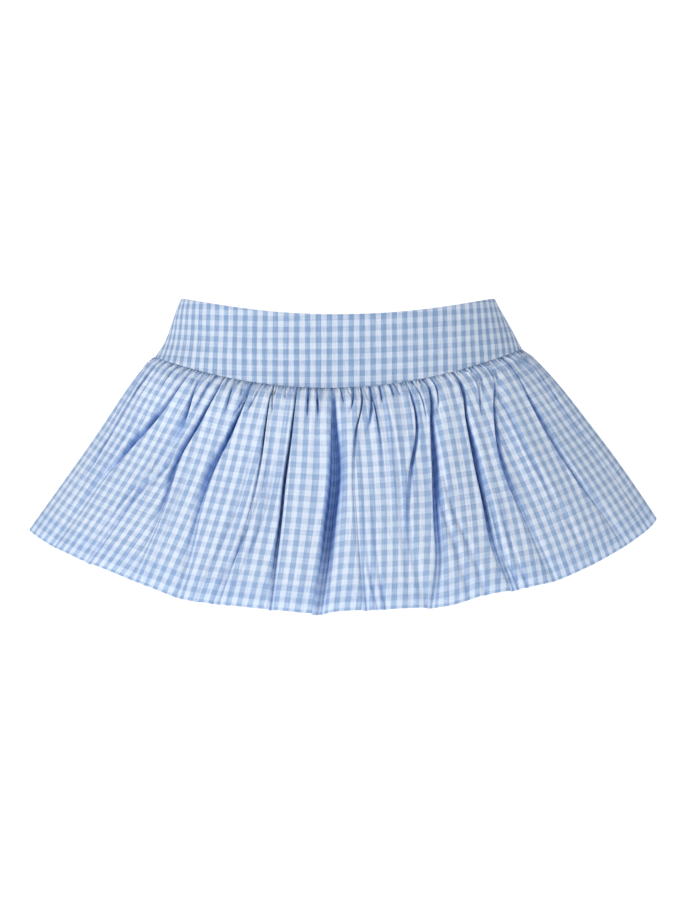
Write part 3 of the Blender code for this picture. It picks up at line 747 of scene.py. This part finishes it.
def yoke_section():
    """How far down each row of the yoke's points is, and how deep below its outer side.

    The rows go up the outer side, over the top, down the inner side and round the bottom."""
    edge = YOKE_WALL / 2 / YOKE_CUT[1]
    turn = np.linspace(0.0, math.pi, YOKE_EDGE_ROWS + 2)[1:-1]
    outer = edge + (1 - 2 * edge) * np.linspace(0.0, 1.0, YOKE_OUTER_ROWS)[::-1]
    inner = edge + (1 - 2 * edge) * np.linspace(0.0, 1.0, YOKE_INNER_ROWS)
    down = np.concatenate([outer, edge - edge * np.sin(turn), inner, 1 - edge + edge * np.sin(turn)])
    depth = np.concatenate([
        np.zeros(len(outer)),
        YOKE_WALL / 2 * (1 - np.cos(turn)),
        np.full(len(inner), YOKE_WALL),
        YOKE_WALL / 2 * (1 + np.cos(turn)),
    ])
    return down, depth


def yoke_sink(facing, across, down):
    """How far the yoke's cloth lies below its smooth form."""
    from_side = np.minimum(across, 1 - across) * YOKE_HALF_ROUND
    sink = YOKE_SIDE_DENT * bell(from_side, YOKE_SIDE_DENT_WIDTH)
    wander = PULL_WANDER * np.sin(across * PULL_WANDER_TURNS)
    sink -= PULL_HEIGHT * np.sin(across * PULL_TURNS + wander) * smooth(PULL_FROM, 1.0, down)
    one, other = [np.sin(across * turns + down * turns_down) for turns, turns_down in YOKE_WAVES]
    sink -= YOKE_WAVE_HEIGHT * one * other
    for crease in YOKE_CREASES if facing < 0 else ():
        off = (across - crease.across - crease.slant * (down - crease.top)) * YOKE_CUT[0]
        begun = smooth(crease.top - CREASE_END, crease.top + CREASE_END, down)
        ended = smooth(crease.end - CREASE_END, crease.end, down)
        sink += crease.depth * begun * (1 - ended) * bell(off, crease.half_width)
    return sink


def yoke_threads(facing, points, across, down):
    """The place in the flat cloth of points on the yoke, from the middle."""
    side = np.sin(angle_at(across, SEAM, facing))
    place = np.zeros_like(points)
    place[..., 1] = between(YOKE_ROWS_RISE, down) * side**2 + YOKE_ROWS_LEAN * side - points[..., 2]
    fine = np.linspace(0.0, 1.0, YOKE_SAMPLES)
    for row, height in enumerate(down[:, 0]):
        line = yoke_surface(facing, fine, np.full_like(fine, height))
        run = running(steps_of(line))
        place[row, :, 0] = np.interp(across[row], fine, run) - np.interp(0.0, line[:, 0], run)
    return place


def make_yoke(facing, material):
    word = "front" if facing < 0 else "back"
    section_down, section_depth = yoke_section()
    across, down = np.meshgrid(np.linspace(0.0, 1.0, YOKE_COLUMNS + 1), section_down)
    base, outward, _ = base_frame(yoke_surface, facing, across, down)
    points = base - (section_depth[:, None] + yoke_sink(facing, across, down))[..., None] * outward
    place = yoke_threads(facing, points, across, down)
    numbers = np.arange(across.size).reshape(across.shape)
    after = np.roll(numbers, -1, axis=0)
    corners = (numbers[:, :-1], numbers[:, 1:], after[:, 1:], after[:, :-1])
    faces = np.stack(corners, axis=-1).reshape(-1, 4).tolist()
    faces += [numbers[:, 0].tolist(), numbers[::-1, -1].tolist()]
    if facing > 0:
        faces = [face[::-1] for face in faces]
    piece = new_piece(f"yoke_{word}_cloth", points.reshape(-1, 3), faces, place.reshape(-1, 3), material)
    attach(piece, "root")
    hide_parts(f"yoke_{word}")


def make_skirt(facing, material, thread):
    word = "front" if facing < 0 else "back"
    points, cloth = skirt_points(facing)
    length_left = SKIRT_CUT_LENGTH * (1.0 - skirt_rows())
    wall = np.where(length_left < HEM_TURN_UP, HEM_CLOTH, CLOTH)
    piece = shell(f"skirt_{word}_cloth", points, cloth, wall, facing, material)
    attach(piece, "root")
    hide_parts(f"skirt_{word}")
    stitch_row(f"hem_stitches_{word}", points, facing, 1.0 - HEM_LINE / SKIRT_CUT_LENGTH, thread)


def stitch_row(name, points, facing, height, material):
    """A row of stitches along the skirt at a height down the panel."""
    rows = skirt_rows()
    row = np.searchsorted(rows, height)
    above, below = points[row - 1], points[row]
    line = above + (below - above) * (height - rows[row - 1]) / (rows[row] - rows[row - 1])
    along = np.gradient(line, axis=0)
    away = unit(np.cross(below - above, along) * -facing)
    across = unit(np.cross(away, along))
    number = np.arange(len(line))
    columns_a_metre = number[-1] / SKIRT_CUT_WIDTH
    starts = np.arange(STITCH_PITCH, SKIRT_CUT_WIDTH - STITCH_PITCH, STITCH_PITCH) * columns_a_metre

    def at(values, places):
        return np.stack([np.interp(places, number, values[:, axis]) for axis in range(3)], axis=-1)

    rings = []
    for share, lift in STITCH_RINGS:
        places = starts + share * STITCH_LENGTH * columns_a_metre
        middle = at(line, places) + at(away, places) * THREAD_SIZE * lift
        for side, rise in SQUARE:
            rings.append(middle + (at(across, places) * side + at(away, places) * rise) * THREAD_SIZE)
    corners = np.stack(rings, axis=1)
    faces = [(0, 1, 2, 3), (15, 14, 13, 12)]
    for ring in (0, 4, 8):
        for a, b in ((0, 1), (1, 2), (2, 3), (3, 0)):
            faces.append((ring + a, ring + 4 + a, ring + 4 + b, ring + b))
    if facing > 0:
        faces = [face[::-1] for face in faces]
    every = [tuple(corner + first for corner in face)
             for first in range(0, corners.shape[0] * corners.shape[1], corners.shape[1]) for face in faces]
    flat = corners.reshape(-1, 3)
    piece = new_piece(name, flat, every, np.zeros_like(flat), material)
    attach(piece, "root")


# ----- shorts


def shorts_ring(ring, inset, side, turn):
    """Half a ring round one side of the shorts. turn goes from 0 at the front to 180 degrees behind."""
    front = ring_points(ring, -1, side * turn, FITTED_DIP_POWER, inset)
    back = ring_points(ring, 1, side * (math.pi - turn), FITTED_DIP_POWER, inset)
    return np.where(turn[:, None] <= math.pi / 2, front, back)


def shorts_rings(side):
    """The rings of one half of the shorts: open hip rings, the crotch seam's points, and leg rings."""
    turn = np.linspace(0.0, math.pi, OUTER_LEG_COLUMNS + 1)
    top = shorts_ring(SEAM, SHORTS_INSET, side, turn)
    top[:, 2] += SHORTS_OVERLAP
    rise = shorts_ring(SHORTS_RISE, 0.0, side, turn)
    hips = []
    for down in np.linspace(0.0, 1.0, HIP_ROWS + 1):
        ring = top + (rise - top) * down
        ring[:, 0] += side * HIP_SWELL * math.sin(math.pi * down) * np.sin(turn)
        ring[0, 0] = ring[-1, 0] = side * CROTCH_GAP / 2
        hips.append(ring)

    sag = np.linspace(0.0, math.pi, INNER_LEG_COLUMNS + 1)[1:-1]
    behind, before = hips[-1][-1], hips[-1][0]
    crotch = behind + (before - behind) * ((1.0 - np.cos(sag)) / 2)[:, None]
    crotch[:, 2] -= CROTCH_SAG * np.sin(sag)
    crotch_ring = np.concatenate([hips[-1], crotch])

    outer = np.linspace(LEG_INNER_ARC / 2 - math.pi / 2, math.pi * 3 / 2 - LEG_INNER_ARC / 2, len(turn))
    inner = np.linspace(outer[-1], outer[0] + 2 * math.pi, INNER_LEG_COLUMNS + 1)[1:-1]
    angle = np.concatenate([outer, inner])
    x = side * (LEG_X + LEG_HALF_WIDTH * np.sin(angle))
    y = LEG_Y - LEG_HALF_DEPTH * np.cos(angle)
    hem_ring = np.stack([x, y, np.full_like(angle, LEG_HEM_Z)], axis=-1)
    legs = [crotch_ring + (hem_ring - crotch_ring) * down for down in np.linspace(0.0, 1.0, LEG_ROWS + 1)[1:]]
    return hips, crotch, legs


def strip_faces(above, below, closed=False):
    """Faces between two rows of point numbers, which close to a ring if asked to."""
    ends = zip(above + above[:1], above[1:] + above[:1], below[1:] + below[:1], below)
    faces = [(a, d, c, b) for a, b, c, d in ends]
    return faces if closed else faces[:-1]


def shorts_faces(hips, crotch, legs):
    """The faces of one half of the shorts, whose points are numbered ring by ring."""
    sizes = [len(ring) for ring in (*hips, crotch, *legs)]
    rows = [list(range(end - size, end)) for end, size in zip(np.cumsum(sizes).tolist(), sizes)]
    hip_rows = rows[: len(hips)]
    leg_rows = [hip_rows[-1] + rows[len(hips)], *rows[len(hips) + 1 :]]
    faces = [face for above, below in zip(hip_rows, hip_rows[1:]) for face in strip_faces(above, below)]
    for above, below in zip(leg_rows, leg_rows[1:]):
        faces += strip_faces(above, below, closed=True)
    return faces


def outward_of(points, faces):
    """The outward direction at each point of a sheet, as its mesh has it."""
    sheet = bpy.data.meshes.new("sheet")
    sheet.from_pydata(points.tolist(), [], faces)
    away = np.empty(points.size)
    sheet.vertex_normals.foreach_get("vector", away)
    bpy.data.meshes.remove(sheet)
    return away.reshape(-1, 3)


def shorts_creases(points, side):
    """How far the jersey sinks in its soft creases and in the groove round each leg's hem."""
    x, y, z = points[:, 0] * side, points[:, 1], points[:, 2]
    crotch_z = SHORTS_RISE.z - CROTCH_SAG / 2
    reach = np.hypot(x, z - crotch_z)
    fan = np.arctan2(z - crotch_z, x) * FAN_CREASES + FAN_WANDER * np.sin(reach * FAN_WANDER_TURNS)
    fan = FAN_DEPTH * np.sin(fan + y * FAN_TURNS_BACK) * bell(reach - FAN_REACH, FAN_WIDTH)
    wander = THIGH_WANDER * np.sin(x * THIGH_WANDER_TURNS[0] + y * THIGH_WANDER_TURNS[1])
    thigh = THIGH_DEPTH * np.sin(z * THIGH_TURNS + wander) * bell(z - THIGH_Z, THIGH_HEIGHT)
    groove = LEG_HEM_GROOVE * bell(z - LEG_HEM_Z - LEG_HEM_TURN_UP, LEG_HEM_GROOVE_WIDTH)
    return (fan + thigh) * smooth(0.0, CREASES_FROM_CENTRE, x) + groove + JERSEY_SINK


def make_shorts(side, material):
    """One half of the shorts. side is 1 for the +X one and -1 for the other."""
    word = "left" if side > 0 else "right"
    hips, crotch, legs = shorts_rings(side)
    points = np.concatenate([*hips, crotch, *legs])
    faces = shorts_faces(hips, crotch, legs)
    if side < 0:
        faces = [face[::-1] for face in faces]
    away = outward_of(points, faces)
    outer = points - away * shorts_creases(points, side)[:, None]
    outer[:, 0] = side * np.maximum(side * outer[:, 0], CROTCH_GAP / 2)
    thick = np.where(points[:, 2] < LEG_HEM_Z + LEG_HEM_TURN_UP, HEM_JERSEY, JERSEY)
    inner = outer - away * thick[:, None]
    inner[:, 0] = side * np.maximum(side * inner[:, 0], CROTCH_GAP / 2)
    count = len(points)
    inside = [tuple(corner + count for corner in reversed(face)) for face in faces]
    edges = {edge for face in faces for edge in zip(face, face[1:] + face[:1])}
    rims = [(b, a, a + count, b + count) for a, b in sorted(edges) if (b, a) not in edges]
    round_leg = np.arctan2(points[:, 0] - side * LEG_X, -points[:, 1]) * LEG_HALF_WIDTH
    place = np.stack([round_leg, -points[:, 2], np.zeros(count)], axis=-1)
    piece = new_piece(f"shorts_{word}_cloth", np.concatenate([outer, inner]), faces + inside + rims,
                      np.concatenate([place, place]), material)
    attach(piece, "root")
    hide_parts(f"shorts_{word}")


# ----- materials


class Nodes:
    """Short calls for building a material. An input named i0 is a node's first one, i1 its second."""

    def __init__(self, name):
        self.material = bpy.data.materials.new(name)
        self.material.use_nodes = True
        self.tree = self.material.node_tree
        self.shader = self.tree.nodes["Principled BSDF"]

    def put(self, socket, value):
        if isinstance(value, bpy.types.NodeSocket):
            self.tree.links.new(value, socket)
        else:
            socket.default_value = value

    def add(self, kind, settings=(), **inputs):
        node = self.tree.nodes.new(kind)
        for key, value in dict(settings).items():
            setattr(node, key, value)
        for key, value in inputs.items():
            numbered = key[0] == "i" and key[1:].isdigit()
            self.put(node.inputs[int(key[1:]) if numbered else key], value)
        return node

    def math(self, operation, first, second=0.0, third=0.0):
        return self.add("ShaderNodeMath", {"operation": operation}, i0=first, i1=second, i2=third).outputs[0]

    def cloth(self):
        """The place in the flat cloth: the vector, and its three numbers."""
        vector = self.add("ShaderNodeAttribute", {"attribute_name": "cloth"}).outputs["Vector"]
        return vector, self.add("ShaderNodeSeparateXYZ", Vector=vector).outputs

    def noise(self, place, scale, detail, roughness=0.5):
        node = self.add("ShaderNodeTexNoise", Vector=place, Scale=scale, Detail=detail, Roughness=roughness)
        return node.outputs[0]

    def cells(self, across, down, cells, detail, roughness):
        """Noise with its own number of cells a metre across and down."""
        x = self.math("MULTIPLY", across, cells[0])
        y = self.math("MULTIPLY", down, cells[1])
        place = self.add("ShaderNodeCombineXYZ", i0=x, i1=y, i2=0.0).outputs[0]
        return self.noise(place, 1.0, detail, roughness)

    def wave(self, value, period):
        return self.math("SINE", self.math("MULTIPLY", value, 2 * math.pi / period))

    def tinted(self, colour, share, tint):
        node = self.add("ShaderNodeMix", {"data_type": "RGBA", "blend_type": "MULTIPLY"}, Factor=share)
        self.put(node.inputs[6], colour)
        self.put(node.inputs[7], (*tint, 1.0))
        return node.outputs[2]

    def ramp(self, value, *stops):
        node = self.add("ShaderNodeValToRGB", Fac=value)
        ramp = node.color_ramp
        while len(ramp.elements) < len(stops):
            ramp.elements.new(0.5)
        for element, (place, colour) in zip(ramp.elements, stops):
            element.position = place
            element.color = (*colour, 1.0)
        return node.outputs[0]

    def surface(self, **values):
        """Sets numbers of the shader, whose names are written with _ for each space."""
        for name, value in values.items():
            self.shader.inputs[name.replace("_", " ")].default_value = value

    def bump(self, height, strength, distance):
        node = self.add("ShaderNodeBump", Height=height, Strength=strength, Distance=distance)
        self.put(self.shader.inputs["Normal"], node.outputs[0])


def stripes(nodes, place, period, phase):
    """1 in the dyed stripes and 0 between them, which are each half a period wide."""
    part = nodes.math("FRACT", nodes.math("ADD", nodes.math("DIVIDE", place, period), phase))
    off = nodes.math("ABSOLUTE", nodes.math("SUBTRACT", part, 0.5))
    node = nodes.add(
        "ShaderNodeMapRange",
        {"interpolation_type": "SMOOTHSTEP"},
        Value=off,
        **{"From Min": 0.25 - STRIPE_SOFT, "From Max": 0.25 + STRIPE_SOFT, "To Min": 1.0, "To Max": 0.0},
    )
    return node.outputs[0]


def slubbed(nodes, stripe, across, down, cells):
    """A stripe whose dye is uneven from thread to thread and along each."""
    slub = nodes.cells(across, down, cells, 3.0, 0.7)
    return nodes.math("ADD", stripe, nodes.math("MULTIPLY_ADD", slub, SLUB_STRENGTH, -SLUB_STRENGTH / 2))


def gingham(name, check_down, phases, tones, gathered=False):
    nodes = Nodes(name)
    _, (across, down, hollow) = nodes.cloth()
    weave = nodes.math("MULTIPLY", nodes.wave(across, 2 * THREAD), nodes.wave(down, 2 * THREAD))
    warp = slubbed(nodes, stripes(nodes, across, CHECK, phases[0]), across, down, SLUB_CELLS)
    weft = slubbed(nodes, stripes(nodes, down, check_down, phases[1]), across, down, SLUB_CELLS[::-1])
    on_top = nodes.math("MULTIPLY_ADD", weave, WEAVE_CONTRAST, WARP_SHARE)
    under = nodes.math("SUBTRACT", 1.0, on_top)
    dye = nodes.math("ADD", nodes.math("MULTIPLY", warp, on_top), nodes.math("MULTIPLY", weft, under))
    # Painted shade: the colour is darkened by a tint where the cloth is hollow, in folds and slits.
    colour = nodes.tinted(nodes.ramp(dye, *zip(TONE_PLACES, tones)), hollow, PAINTED_SHADE_TINT)
    crumple = nodes.cells(across, down, CRUMPLE_CELLS, 4.0, 0.6)
    height = nodes.math("ADD", nodes.math("MULTIPLY", weave, WEAVE_HEIGHT),
                        nodes.math("MULTIPLY", crumple, CRUMPLE_HEIGHT))
    if gathered:
        # Painted shade where the hem is doubled.
        doubled = nodes.math("GREATER_THAN", down, SKIRT_CUT_LENGTH - HEM_TURN_UP)
        colour = nodes.tinted(colour, doubled, HEM_PAINTED_SHADE_TINT)
        fading = nodes.math("EXPONENT", nodes.math("DIVIDE", down, -PULLED_FADE))
        fading = nodes.math("ADD", fading, PULLED_LEAST)
        pulled = nodes.math("MULTIPLY", nodes.cells(across, down, PULLED_CELLS, 3.0, 0.5), fading)
        height = nodes.math("ADD", height, nodes.math("MULTIPLY", pulled, PULLED_HEIGHT))
    nodes.put(nodes.shader.inputs["Base Color"], colour)
    nodes.surface(Roughness=0.95, Specular_IOR_Level=0.08, Sheen_Weight=0.02, Sheen_Roughness=0.5)
    nodes.bump(height, 0.6, CLOTH_BUMP)
    return nodes.material


def thread_material():
    nodes = Nodes("thread")
    nodes.surface(Base_Color=(*THREAD_COLOUR, 1.0), Roughness=0.8)
    return nodes.material


def jersey():
    nodes = Nodes("jersey")
    cloth, (across, down, _) = nodes.cloth()
    knit = nodes.math("MULTIPLY", nodes.wave(across, RIB_PERIOD), nodes.wave(down, LOOP_PERIOD))
    tone = nodes.noise(cloth, JERSEY_CELLS, 3.0)
    nodes.put(nodes.shader.inputs["Base Color"], nodes.ramp(tone, *JERSEY_TONES))
    nodes.surface(Roughness=0.9, Sheen_Weight=0.2)
    nodes.bump(knit, 0.3, JERSEY_BUMP)
    return nodes.material


# ----- stage


def add_light(name, place, size, power):
    light = bpy.data.lights.new(name, "AREA")
    light.shape = "DISK"
    light.size = size
    light.energy = power
    lamp = add_object(name, light)
    lamp.location = place
    lamp.rotation_mode = "QUATERNION"
    lamp.rotation_quaternion = Vector(np.subtract(LIGHTS_AIM, place)).to_track_quat("-Z", "Y")


def make_world():
    """A white surround, brighter to the camera than it lights."""
    world = bpy.data.worlds.new("studio")
    bpy.context.scene.world = world
    world.use_nodes = True
    tree = world.node_tree
    shown = tree.nodes.new("ShaderNodeBackground")
    light = tree.nodes["Background"]
    for background, strength in ((shown, WORLD_SHOWN), (light, WORLD_LIGHT)):
        background.inputs["Color"].default_value = WHITE
        background.inputs["Strength"].default_value = strength
    path = tree.nodes.new("ShaderNodeLightPath")
    mix = tree.nodes.new("ShaderNodeMixShader")
    tree.links.new(path.outputs["Is Camera Ray"], mix.inputs[0])
    tree.links.new(light.outputs[0], mix.inputs[1])
    tree.links.new(shown.outputs[0], mix.inputs[2])
    tree.links.new(mix.outputs[0], tree.nodes["World Output"].inputs[0])


def make_camera():
    camera = bpy.data.cameras.new("camera")
    camera.lens = CAMERA_LENS
    camera.sensor_width = SENSOR
    shot = add_object("camera", camera)
    shot.location = CAMERA_PLACE
    shot.rotation_euler = (math.pi / 2, 0.0, 0.0)
    bpy.context.scene.camera = shot


def make_floor():
    mesh = bpy.data.meshes.new("floor")
    corners = [(x * FLOOR_HALF, y * FLOOR_HALF, FLOOR_Z) for x, y in ((-1, -1), (1, -1), (1, 1), (-1, 1))]
    mesh.from_pydata(corners, [], [(0, 1, 2, 3)])
    paint = bpy.data.materials.new("floor")
    paint.use_nodes = True
    shader = paint.node_tree.nodes["Principled BSDF"]
    shader.inputs["Base Color"].default_value = FLOOR_COLOUR
    shader.inputs["Emission Color"].default_value = WHITE
    shader.inputs["Emission Strength"].default_value = FLOOR_GLOW
    mesh.materials.append(paint)
    floor = add_object("floor", mesh)


# ----- the scene

bpy.context.scene.view_settings.view_transform = "Standard"
make_world()
for light in LIGHTS:
    add_light(*light)
make_camera()
make_floor()

# The skirt's gingham carries painted light in its lighter tones, and painted shade in its hollows and doubled
# hem.
skirt_cloth = gingham("gingham_skirt", CHECK, SKIRT_PHASES, SKIRT_TONES_WITH_PAINTED_LIGHT, gathered=True)
yoke_cloth = gingham("gingham_yoke", YOKE_CHECK_DOWN, YOKE_PHASES, YOKE_TONES)
jersey_cloth = jersey()
thread_cloth = thread_material()
for facing in (-1, 1):
    make_yoke(facing, yoke_cloth)
    make_skirt(facing, skirt_cloth, thread_cloth)
for side in (-1, 1):
    make_shorts(side, jersey_cloth)
